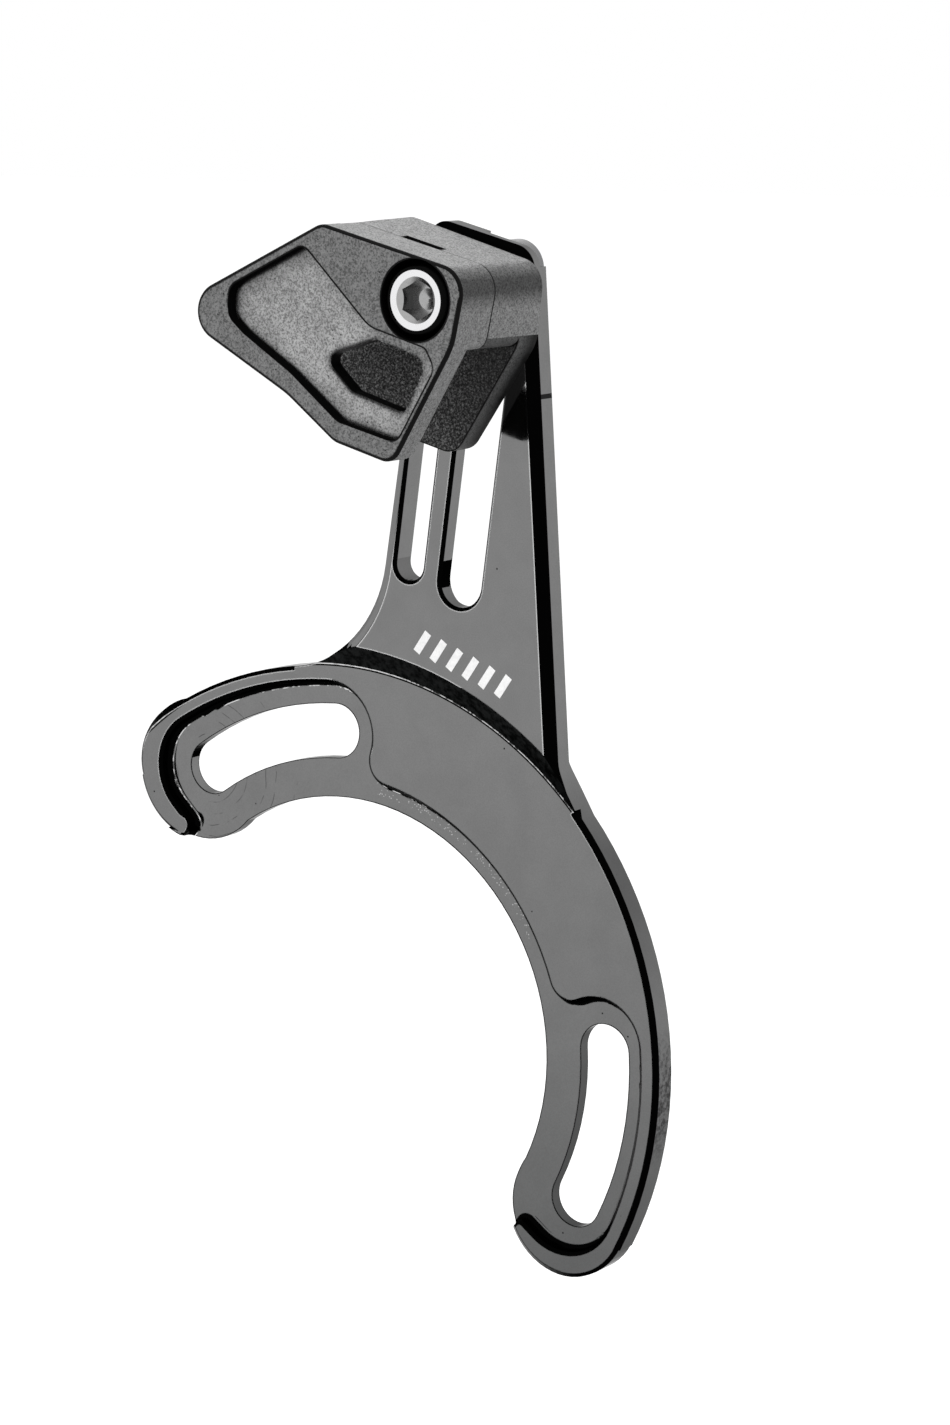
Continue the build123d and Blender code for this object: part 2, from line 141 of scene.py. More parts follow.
# Lamps in metres: name, place, size and share of the key's power
LAMPS = (
    ("key", (-0.05, -0.35, 0.75), 0.7, 1.0),
    ("fill_left", (-0.6, -0.5, 0.25), 0.6, 0.3),
    ("fill_right", (0.7, -0.1, 0.3), 0.6, 0.2),
)
LAMP_AIM = Vector((0.01, -0.01, 0.05))
FLOOR_HALF_WIDTH = 4.0


# Settings that a user would change


class PlateFinish(bpy.types.PropertyGroup):
    face_grey: bpy.props.FloatVectorProperty(
        name="Mast grey", description="Reflected grey of the mast's flat faces", subtype="COLOR",
        size=3, min=0, max=1, default=(0.228, 0.228, 0.228))
    # Arc and lower greys: painted reflection that darkens towards the lower arm's end
    arm_reflection_grey: bpy.props.FloatVectorProperty(
        name="Arc grey", description="Grey of the arc at the height of the crank axle",
        subtype="COLOR", size=3, min=0, max=1, default=(0.192, 0.193, 0.193))
    lower_reflection_grey: bpy.props.FloatVectorProperty(
        name="Lower grey", description="Grey at the end of the lower arm", subtype="COLOR",
        size=3, min=0, max=1, default=(0.130, 0.132, 0.132))
    # Painted dark reflection and shade: black of bevels, pocket walls, walls that mirror something
    # dark and the step's foot
    dark_reflection_and_shade: bpy.props.FloatVectorProperty(
        name="Bevel black", description="Colour of bevels and pocket walls", subtype="COLOR",
        size=3, min=0, max=1, default=(0.0010, 0.0010, 0.0010))
    # Painted reflection: the sloping step of the same anodising shown dark grey
    step_painted_reflection: bpy.props.FloatVectorProperty(
        name="Step grey", description="Colour of the sloping step below the mast", subtype="COLOR",
        size=3, min=0, max=1, default=(0.012, 0.0125, 0.0125))
    # Painted highlight along the faces' edges and the step's foot
    painted_edge_highlight: bpy.props.FloatVectorProperty(
        name="Edge light", description="Fine light line along the edges of the faces",
        subtype="COLOR", size=3, min=0, max=1, default=(0.85, 0.85, 0.85))
    edge_width: bpy.props.FloatProperty(
        name="Edge width", description="Width of the broken edges", subtype="DISTANCE",
        unit="LENGTH", min=0, default=0.00028)
    gloss: bpy.props.FloatProperty(
        name="Roughness", description="Roughness of the anodised surface", min=0, max=1,
        default=0.05)


class CageFinish(bpy.types.PropertyGroup):
    plastic_grey: bpy.props.FloatVectorProperty(
        name="Plastic grey", description="Colour of the moulded plastic", subtype="COLOR",
        size=3, min=0, max=1, default=(0.200, 0.201, 0.201))
    # Painted light: the cage's right side paler than its front
    side_painted_light: bpy.props.FloatVectorProperty(
        name="Side grey", description="Colour of the cage's right side", subtype="COLOR",
        size=3, min=0, max=1, default=(0.255, 0.256, 0.256))
    # Painted light: the roof paler, as lit from above
    roof_painted_light: bpy.props.FloatVectorProperty(
        name="Roof grey", description="Colour of the roof, painted paler as lit from above", subtype="COLOR",
        size=3, min=0, max=1, default=(0.400, 0.401, 0.401))
    pocket_grey: bpy.props.FloatVectorProperty(
        name="Pocket grey", description="Paler colour of the pocket's floor", subtype="COLOR",
        size=3, min=0, max=1, default=(0.450, 0.451, 0.451))
    # Painted shade: the inner half's chain face dark, in the outer half's shadow
    chain_face_painted_shade: bpy.props.FloatVectorProperty(
        name="Inside grey", description="Dark colour of the inner half's chain face",
        subtype="COLOR", size=3, min=0, max=1, default=(0.018, 0.018, 0.018))
    # Black of the seam, a dark joint, and painted shade on front edges, recess walls, the roof's
    # slit and the gap round the bolt's head
    joint_and_painted_shade_black: bpy.props.FloatVectorProperty(
        name="Line black", description="Colour of front edges, recess walls and the seam",
        subtype="COLOR", size=3, min=0, max=1, default=(0.0015, 0.0015, 0.0015))
    grain_size: bpy.props.FloatProperty(
        name="Grain size", description="Size of the moulded grain", subtype="DISTANCE",
        unit="LENGTH", min=0.00001, default=0.00022)
    grain_depth: bpy.props.FloatProperty(
        name="Grain strength", description="Strength of the moulded grain", min=0, max=1,
        default=0.35)
    roughness: bpy.props.FloatProperty(
        name="Roughness", description="Roughness of the plastic", min=0, max=1, default=0.55)


class BoltFinish(bpy.types.PropertyGroup):
    steel: bpy.props.FloatVectorProperty(
        name="Steel", description="Colour of the turned steel", subtype="COLOR",
        size=3, min=0, max=1, default=(0.86, 0.86, 0.87))
    zinc: bpy.props.FloatVectorProperty(
        name="Zinc", description="Duller colour of the nut and the bolt's end", subtype="COLOR",
        size=3, min=0, max=1, default=(0.20, 0.20, 0.205))
    # Painted shade down in the hexagon socket
    socket_painted_shade: bpy.props.FloatVectorProperty(
        name="Socket", description="Colour down in the hexagon socket", subtype="COLOR",
        size=3, min=0, max=1, default=(0.10, 0.10, 0.10))


class PrintedBars(bpy.types.PropertyGroup):
    count: bpy.props.IntProperty(
        name="Bars", description="How many bars are printed", min=2, max=20, default=6)
    first_middle: bpy.props.FloatVectorProperty(
        name="First bar", description="Middle of the first bar, across and up", subtype="XYZ",
        unit="LENGTH", size=2, default=(0.0131, 0.0489))
    last_middle: bpy.props.FloatVectorProperty(
        name="Last bar", description="Middle of the last bar, across and up", subtype="XYZ",
        unit="LENGTH", size=2, default=(0.0244, 0.0447))
    length: bpy.props.FloatProperty(
        name="Length", description="Length of a bar", subtype="DISTANCE", unit="LENGTH",
        default=0.0029)
    width: bpy.props.FloatProperty(
        name="Width", description="Width of a bar", subtype="DISTANCE", unit="LENGTH",
        default=0.0010)
    slant: bpy.props.FloatProperty(
        name="Slant", description="How far the bars lean", subtype="ANGLE", unit="ROTATION",
        default=radians(35))
    ink_height: bpy.props.FloatProperty(
        name="Ink height", description="How far the ink stands proud", subtype="DISTANCE",
        unit="LENGTH", default=0.00003)


class StudioSettings(bpy.types.PropertyGroup):
    aim: bpy.props.FloatVectorProperty(
        name="Aim", description="Point that the camera looks at", subtype="XYZ", unit="LENGTH",
        size=3, default=(0.009934, 0.010923, 0.0380))
    distance: bpy.props.FloatProperty(
        name="Distance", description="Camera's distance from its aim", subtype="DISTANCE",
        unit="LENGTH", default=0.47891)
    azimuth: bpy.props.FloatProperty(
        name="Azimuth", description="Camera's turn round the guide from straight in front",
        subtype="ANGLE", unit="ROTATION", default=radians(33.61))
    elevation: bpy.props.FloatProperty(
        name="Elevation", description="Camera's height above the horizon", subtype="ANGLE",
        unit="ROTATION", default=radians(9.66))
    lens: bpy.props.FloatProperty(
        name="Lens", description="Focal length in millimetres for a 36 mm long side", min=1,
        default=99.42)
    floor_drop: bpy.props.FloatProperty(
        name="Floor drop", description="Distance from the guide's lowest point to the floor",
        subtype="DISTANCE", unit="LENGTH", default=0.045)
    world_light: bpy.props.FloatProperty(
        name="World light", description="Soft light from all round", min=0, default=0.80)
    key_power: bpy.props.FloatProperty(
        name="Key power", description="Power of the large lamp above", min=0, default=3.0)


SETTINGS = {
    "guide_plate_finish": PlateFinish,
    "guide_cage_finish": CageFinish,
    "guide_bolt_finish": BoltFinish,
    "guide_printed_bars": PrintedBars,
    "guide_studio": StudioSettings,
}


# Shader helpers

# A point of a surface: its object coordinates, and its x, z, distance out and reach from a centre
Place = namedtuple("Place", ("point", "x", "z", "out", "reach"))


class Graph:
    """Adds nodes to a tree and links them by socket name."""

    def __init__(self, tree):
        self.tree = tree

    def node(self, kind, values=None, **settings):
        made = self.tree.nodes.new(kind)
        for name, value in settings.items():
            setattr(made, name, value)
        for name, value in (values or {}).items():
            self.feed(made.inputs[name], value)
        return made

    def feed(self, socket, value):
        if isinstance(value, bpy.types.NodeSocket):
            self.tree.links.new(value, socket)
        elif isinstance(value, (tuple, list)) and socket.type == "RGBA" and len(value) == 3:
            socket.default_value = (*value, 1)
        else:
            socket.default_value = value

    def math(self, operation, first, second=0.0):
        made = self.node("ShaderNodeMath", operation=operation)
        self.feed(made.inputs[0], first)
        self.feed(made.inputs[1], second)
        return made.outputs[0]

    def span(self, value, low, high, out_low=0.0, out_high=1.0):
        """Value carried from one range to another, and held at its ends."""
        made = self.node("ShaderNodeMapRange", clamp=True)
        for name, part in (("Value", value), ("From Min", low), ("From Max", high),
                           ("To Min", out_low), ("To Max", out_high)):
            self.feed(made.inputs[name], part)
        return made.outputs["Result"]

    def fade(self, value, start, end):
        """0 to 1 between two places given in millimetres."""
        return self.span(value, start * MM, end * MM)

    def mix(self, factor, first, second, blend="MIX"):
        made = self.node("ShaderNodeMix", data_type="RGBA", blend_type=blend, clamp_factor=True)
        self.feed(made.inputs[0], factor)
        self.feed(made.inputs[6], first)
        self.feed(made.inputs[7], second)
        return made.outputs[2]

    def both(self, first, *others):
        """1 where all the masks are 1."""
        for other in others:
            first = self.math("MULTIPLY", first, other)
        return first

    def either(self, first, *others):
        """1 where any of the masks is 1."""
        for other in others:
            first = self.math("MAXIMUM", first, other)
        return first

    def other(self, mask):
        """1 where the mask is 0."""
        return self.math("SUBTRACT", 1.0, mask)

    def above(self, value, limit):
        return self.math("GREATER_THAN", value, limit)

    def below(self, value, limit):
        return self.math("LESS_THAN", value, limit)

    def within(self, value, low, high):
        """1 between two limits."""
        return self.both(self.above(value, low), self.below(value, high))

    def region(self, at, x=None, z=None, out=None, reach=None):
        """1 inside the ranges given in millimetres, each a pair with None for an open end."""
        masks = []
        for value, ends in ((at.x, x), (at.z, z), (at.out, out), (at.reach, reach)):
            low, high = ends or (None, None)
            if low is not None:
                masks.append(self.above(value, low * MM))
            if high is not None:
                masks.append(self.below(value, high * MM))
        return self.both(*masks)

    def darken(self, mask, colour, share):
        """Colour cut down to a share of itself where the mask is 1."""
        return self.mix(mask, colour, (share, share, share), "MULTIPLY")

    def length(self, across, up):
        """Distance in the plate's plane."""
        flat = self.node("ShaderNodeCombineXYZ", {"X": across, "Z": up}).outputs[0]
        return self.node("ShaderNodeVectorMath", {0: flat}, operation="LENGTH").outputs["Value"]

    def noise(self, vector, scale, detail=2.0, roughness=0.5):
        made = self.node("ShaderNodeTexNoise", {"Vector": vector, "Scale": scale,
                                                "Detail": detail, "Roughness": roughness})
        return made.outputs["Fac"]


def shader_group(name, inputs, outputs):
    """Empty node group with its sockets: the graph, input and output nodes to fill it with."""
    tree = bpy.data.node_groups.new(name, "ShaderNodeTree")
    for label, kind, default in inputs:
        socket = tree.interface.new_socket(name=label, in_out="INPUT", socket_type=kind)
        if default is not None:
            socket.default_value = default
    for label, kind in outputs:
        tree.interface.new_socket(name=label, in_out="OUTPUT", socket_type=kind)
    graph = Graph(tree)
    return graph, graph.node("NodeGroupInput").outputs, graph.node("NodeGroupOutput").inputs


def new_material(name):
    """Material with its graph and its Principled shader, linked to the output."""
    material = bpy.data.materials.new(name)
    material.use_nodes = True
    material.node_tree.nodes.clear()
    graph = Graph(material.node_tree)
    shader = graph.node("ShaderNodeBsdfPrincipled")
    output = graph.node("ShaderNodeOutputMaterial")
    graph.feed(output.inputs["Surface"], shader.outputs["BSDF"])
    return material, graph, shader


def dress(node, material):
    """Give a CAD node the material in all its slots."""
    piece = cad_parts[node]
    if not piece.material_slots:
        piece.data.materials.append(material)
    for slot in piece.material_slots:
        slot.material = material


def facing_group():
    """How squarely a surface faces out, softened at its edges and bare, and its softened normal."""
    graph, given, made = shader_group(
        "Softened facing", [("Edge Width", "NodeSocketFloat", 0.0002)],
        [("Out", "NodeSocketFloat"), ("Bare Out", "NodeSocketFloat"), ("Up", "NodeSocketFloat"),
         ("Across", "NodeSocketFloat")])
    soft = graph.node("ShaderNodeBevel", {"Radius": given["Edge Width"]}, samples=8)
    parts = graph.node("ShaderNodeSeparateXYZ", {"Vector": soft.outputs["Normal"]}).outputs
    geometry = graph.node("ShaderNodeNewGeometry").outputs
    bare = graph.node("ShaderNodeSeparateXYZ", {"Vector": geometry["True Normal"]}).outputs
    graph.feed(made["Out"], graph.math("ABSOLUTE", parts["Y"]))
    graph.feed(made["Bare Out"], graph.math("ABSOLUTE", bare["Y"]))
    graph.feed(made["Up"], parts["Z"])
    graph.feed(made["Across"], parts["X"])


def speckle_group():
    """Scattered fine dots, 1 in a dot and 0 between them."""
    graph, given, made = shader_group(
        "Speckle", [("Vector", "NodeSocketVector", None), ("Spacing", "NodeSocketFloat", 0.001),
                    ("Dot Size", "NodeSocketFloat", 0.0002), ("Amount", "NodeSocketFloat", 0.2)],
        [("Dots", "NodeSocketFloat")])
    scale = graph.math("DIVIDE", 1.0, given["Spacing"])
    cells = graph.node("ShaderNodeTexVoronoi", {"Vector": given["Vector"], "Scale": scale})
    radius = graph.math("MULTIPLY", graph.math("MULTIPLY", given["Dot Size"], scale), 0.5)
    near = graph.span(cells.outputs["Distance"], radius, graph.math("MULTIPLY", radius, 0.6))
    chance = graph.node("ShaderNodeSeparateColor", {"Color": cells.outputs["Color"]}).outputs["Red"]
    kept = graph.below(chance, given["Amount"])
    graph.feed(made["Dots"], graph.both(near, kept))


def tool_mark_group():
    """Broken fine rings round a centre, as an end mill leaves."""
    graph, given, made = shader_group(
        "Tool marks", [("Vector", "NodeSocketVector", None), ("Centre", "NodeSocketVector", None),
                       ("Spacing", "NodeSocketFloat", 0.001)],
        [("Lines", "NodeSocketFloat")])
    place = graph.node("ShaderNodeVectorMath", {0: given["Vector"], 1: given["Centre"]},
                       operation="SUBTRACT")
    parts = graph.node("ShaderNodeSeparateXYZ", {"Vector": place.outputs["Vector"]}).outputs
    far = graph.math("DIVIDE", graph.length(parts["X"], parts["Z"]), given["Spacing"])
    waver = graph.math("MULTIPLY", graph.noise(given["Vector"], 120.0), 1.6)
    turn = graph.math("FRACT", graph.math("ADD", far, waver))
    line = graph.within(turn, 0.45, 0.53)
    broken = graph.span(graph.noise(given["Vector"], 330.0, 3.0, 0.6), 0.52, 0.60)
    graph.feed(made["Lines"], graph.both(line, broken))


def place_nodes(graph, centre=None):
    """The surface's Place, measured from the crank axle or from another centre."""
    point = graph.node("ShaderNodeTexCoord").outputs["Object"]
    parts = graph.node("ShaderNodeSeparateXYZ", {"Vector": point}).outputs
    x, z = parts["X"], parts["Z"]
    if centre is not None:
        x = graph.math("SUBTRACT", x, centre.x)
        z = graph.math("SUBTRACT", z, centre.z)
    return Place(point, x, z, graph.math("MULTIPLY", parts["Y"], -1.0), graph.length(x, z))


def place_facing(graph, edge_width):
    """The outputs of the facing group with this edge width."""
    return graph.node("ShaderNodeGroup", {"Edge Width": edge_width},
                      node_tree=bpy.data.node_groups["Softened facing"]).outputs


def place_dots(graph, point, spacing, size, amount):
    """Mask of scattered dots."""
    return graph.node(
        "ShaderNodeGroup",
        {"Vector": point, "Spacing": spacing, "Dot Size": size, "Amount": amount},
        node_tree=bpy.data.node_groups["Speckle"]).outputs["Dots"]


# Operators


class GUIDE_OT_plate_finish(bpy.types.Operator):
    """Give the backplate its glossy black anodising, with bevels painted dark as reflection and
    fine light edges as painted highlights
    """

    bl_idname = "guide.plate_finish"
    bl_label = "Anodise plate"

    def execute(self, context):
        look = context.scene.guide_plate_finish
        material, graph, shader = new_material(PLATE_MATERIAL)
        at = place_nodes(graph)
        facing = place_facing(graph, look.edge_width)
        flat = graph.above(facing["Bare Out"], FLAT_FROM)
        wall = graph.below(facing["Bare Out"], WALL_UP_TO)
        unlit = graph.both(graph.below(facing["Across"], -0.02), graph.below(facing["Up"], 0.05),
                           graph.region(at, **ARMS))

        grey = self.face_grey(graph, look, at)
        grey = self.floor_marks(graph, grey, at, flat)
        grey = self.wall_marks(graph, grey, at, wall, facing)
        black = self.black_parts(graph, at, wall, facing, unlit)
        colour = graph.mix(black, grey, tuple(look.dark_reflection_and_shade))
        colour = self.step(graph, look, colour, at, flat, facing)
        light = self.light_lines(graph, at, flat, facing, unlit)
        colour = graph.mix(graph.math("MULTIPLY", light, 0.8), colour, tuple(look.painted_edge_highlight))

        graph.feed(shader.inputs["Base Color"], colour)
        shader.inputs["Metallic"].default_value = 1.0
        shader.inputs["Specular Tint"].default_value = (0.5, 0.5, 0.5, 1)
        rubbed = graph.noise(at.point, 700.0, 3.0, 0.6)
        graph.feed(shader.inputs["Roughness"],
                   graph.span(rubbed, 0.3, 0.7, look.gloss, look.gloss + 0.04))
        dress("backplate", material)
        return {"FINISHED"}

    def face_grey(self, graph, look, at):
        """Painted reflection: grey that falls towards the lower arm's end, slightly clouded, with a
        few dark specks.
        """
        grey = graph.mix(graph.fade(at.z, -28, 2), tuple(look.lower_reflection_grey), tuple(look.arm_reflection_grey))
        grey = graph.mix(graph.fade(at.z, 0, 45), grey, tuple(look.face_grey))
        cloud = graph.noise(at.point, 220.0, 4.0, 0.6)
        grey = graph.darken(graph.span(cloud, 0.35, 0.65), grey, 0.93)
        grain = graph.noise(at.point, 6000.0, 2.0, 0.7)
        grey = graph.darken(graph.span(grain, 0.35, 0.65), grey, 0.90)
        specks = place_dots(graph, at.point, 1.8 * MM, 0.28 * MM, 0.22)
        return graph.darken(specks, grey, 0.10)

    def floor_marks(self, graph, grey, at, flat):
        """Tool marks on the pocket floors and light flecks along the ledge."""
        floor = graph.both(flat, graph.region(at, **POCKET_FLOOR))
        marks = graph.node(
            "ShaderNodeGroup", {"Vector": at.point, "Centre": TOOL_CENTRE, "Spacing": 1.5 * MM},
            node_tree=bpy.data.node_groups["Tool marks"]).outputs["Lines"]
        near = graph.region(place_nodes(graph, TOOL_CENTRE), reach=(None, TOOL_MARK_REACH))
        grey = graph.darken(graph.both(marks, floor, near), grey, 0.55)
        flecks = place_dots(graph, at.point, 0.28 * MM, 0.20 * MM, 0.62)
        patches = graph.above(graph.noise(at.point, 400.0), 0.38)
        ledge = graph.both(floor, graph.region(at, **LEDGE_FLECKS), patches)
        return graph.mix(graph.both(flecks, ledge), grey, (0.48, 0.48, 0.48))

    def wall_marks(self, graph, grey, at, wall, facing):
        """Streaks and shade on the outer side, a nick in the mast and dim slot walls."""
        outer = graph.both(wall, graph.above(facing["Across"], 0.5))
        rim = graph.both(outer, graph.region(at, **OUTER_RIM))
        streaks = graph.span(graph.noise(at.point, 1500.0, 4.0, 0.7), 0.42, 0.60)
        band = graph.both(graph.fade(at.z, -11, -6), graph.fade(at.z, 6, 1))
        grey = graph.darken(graph.both(rim, band, streaks), grey, 0.35)
        shade = graph.both(rim, graph.fade(at.z, 8, 20), graph.fade(at.z, 36, 26))
        grey = graph.darken(shade, grey, 0.6)
        grey = graph.darken(graph.both(outer, graph.region(at, **NICK)), grey, 0.10)
        slot = graph.both(wall, graph.region(at, **CURVED_SLOT_WALL))
        grey = graph.darken(graph.both(slot, graph.region(at, z=(None, 10))), grey, 0.62)
        grey = graph.darken(graph.both(slot, graph.above(facing["Out"], 0.15)), grey, 0.05)
        dim = graph.both(wall, graph.region(at, **MAST_SLOT_FEET))
        return graph.darken(dim, grey, 0.75)

    def black_parts(self, graph, at, wall, facing, unlit):
        """Bevels, the strips beside them and the walls that mirror something dark, all in painted
        dark reflection.
        """
        left = graph.both(graph.below(facing["Across"], -0.25), graph.region(at, **MAST_LEFT))
        bevel = graph.both(graph.within(facing["Bare Out"], WALL_UP_TO, BEVEL_UP_TO),
                           graph.other(graph.both(left, graph.above(facing["Out"], 0.62))))
        limit = graph.math("ADD", graph.math("MULTIPLY", unlit, UNLIT_STRIP - STRIP), STRIP)
        ledge_line = graph.math("MULTIPLY", graph.region(at, **LEDGE_LINE), LEDGE_STRIP)
        limit = graph.math("MAXIMUM", limit, ledge_line)
        strip = graph.both(graph.above(facing["Bare Out"], BEVEL_UP_TO),
                           graph.below(facing["Out"], limit), graph.other(left))
        pocket = graph.both(wall, graph.region(at, **POCKET_WALL))
        top = graph.both(wall, graph.above(facing["Up"], 0.3), graph.below(facing["Across"], 0.05),
                         graph.region(at, **ARM_TOP))
        dark_mirror = graph.either(graph.region(at, **CLAMP_SLOT_FOOT),
                                   graph.region(at, **CURVED_SLOT_END))
        return graph.either(bevel, strip, pocket, top, graph.both(wall, dark_mirror))

    def step(self, graph, look, colour, at, flat, facing):
        """Sloping step painted dark as a reflection, with a broken line of painted highlight and
        one of painted shade along its foot.
        """
        slope = graph.both(graph.within(facing["Bare Out"], *STEP_SLOPE),
                           graph.region(at, reach=(STEP_FOOT, None)))
        rough = graph.span(graph.noise(at.point, 1100.0, 4.0, 0.7), 0.40, 0.60)
        colour = graph.mix(slope, colour, graph.darken(rough, tuple(look.step_painted_reflection), 0.25))
        shut = graph.both(flat, graph.region(at, **STEP_DARK_LINE))
        colour = graph.mix(shut, colour, tuple(look.dark_reflection_and_shade))
        broken = graph.span(graph.noise(at.point, 1600.0, 3.0, 0.7), 0.42, 0.52)
        bright = graph.both(flat, graph.region(at, **STEP_LIGHT_LINE), broken)
        return graph.mix(graph.math("MULTIPLY", bright, 0.6), colour, tuple(look.painted_edge_highlight))

    def light_lines(self, graph, at, flat, facing, unlit):
        """Painted highlight: fine light line beside each broken edge, but not on the left of the
        arms, and dashes of painted reflection at the feet of the pocket walls.
        """
        low = graph.region(at, **LOW_FACES)
        line = graph.within(facing["Out"], *LIGHT_LINE)
        light = graph.both(line, flat, graph.other(low), graph.other(unlit),
                           graph.fade(at.z, 16, 30))
        foot = graph.both(graph.within(facing["Bare Out"], *FLOOR_FILLET_FOOT),
                          graph.region(at, z=(20, None)), low)
        dashes = graph.span(graph.noise(at.point, 900.0), 0.48, 0.58)
        return graph.either(light, graph.both(foot, dashes))


class GUIDE_OT_arm_end(bpy.types.Operator):
    """Show the plate with the rim of its upper arm carried on to a full, bevelled end"""

    bl_idname = "guide.arm_end"
    bl_label = "Fill arm end"

    def execute(self, context):
        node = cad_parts["backplate"]
        fill = bpy.data.objects.new("arm_end_fill", self.fill_mesh())
        context.scene.collection.objects.link(fill)
        plate = bpy.data.objects.new("plate_with_full_rim", self.merged_copy(node.data))
        context.scene.collection.objects.link(plate)
        join = plate.modifiers.new("Fill", "BOOLEAN")
        join.operation = "UNION"
        join.solver = "EXACT"
        join.object = fill
        evaluated = plate.evaluated_get(context.evaluated_depsgraph_get())
        mesh = bpy.data.meshes.new_from_object(evaluated)
        plate.modifiers.remove(join)
        plate.data = mesh
        bpy.data.objects.remove(fill)
        mesh.materials.clear()
        mesh.materials.append(bpy.data.materials[PLATE_MATERIAL])
        self.require_closed(mesh)
        mesh.shade_flat()
        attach(plate, "plate")
        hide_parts("backplate")
        return {"FINISHED"}

    def merged_copy(self, source):
        """Copy of a node's mesh with its doubled corners merged."""
        mesh = source.copy()
        work = bmesh.new()
        work.from_mesh(mesh)
        bmesh.ops.remove_doubles(work, verts=work.verts, dist=MERGE_DISTANCE * MM)
        work.to_mesh(mesh)
        work.free()
        if mesh.has_custom_normals:
            mesh.attributes.remove(mesh.attributes["custom_normal"])
        return mesh

    def fill_mesh(self):
        """End of the rim between the arm's two end curves, bevelled along the outside."""
        start, end = (radians(turn) for turn in FILL_TURNS)
        turns = [start + (end - start) * step / FILL_STEPS for step in range(FILL_STEPS + 1)]
        work = bmesh.new()
        rows = []
        for out, shrink in FILL_RINGS:
            outside = self.curve(TOE_CENTRE, TOE_RADIUS - shrink, turns)
            inside = self.curve(CAP_CENTRE, FILL_INNER_RADIUS, reversed(turns[2:]))
            ring = outside + list(FILL_TIP) + inside
            rows.append([work.verts.new(Vector((x, -out, z)) * MM) for x, z in ring])
        count = len(rows[0])
        for lower, upper in zip(rows, rows[1:]):
            for index in range(count):
                after = (index + 1) % count
                work.faces.new((lower[index], lower[after], upper[after], upper[index]))
        work.faces.new(reversed(rows[0]))
        work.faces.new(rows[-1])
        bmesh.ops.triangulate(work, faces=work.faces)
        bmesh.ops.recalc_face_normals(work, faces=work.faces)
        mesh = bpy.data.meshes.new("arm_end_fill")
        work.to_mesh(mesh)
        work.free()
        return mesh

    def curve(self, centre, radius, turns):
        """Points (x, z) on a circle at the given turns."""
        return [(centre[0] + radius * cos(turn), centre[1] + radius * sin(turn)) for turn in turns]

    def require_closed(self, mesh):
        """Stop the script if the joined plate has an open edge or turned faces."""
        work = bmesh.new()
        work.from_mesh(mesh)
        if any(len(edge.link_faces) != 2 for edge in work.edges) or work.calc_volume() <= 0:
            raise RuntimeError("the plate with the full rim isn't closed")
        work.free()


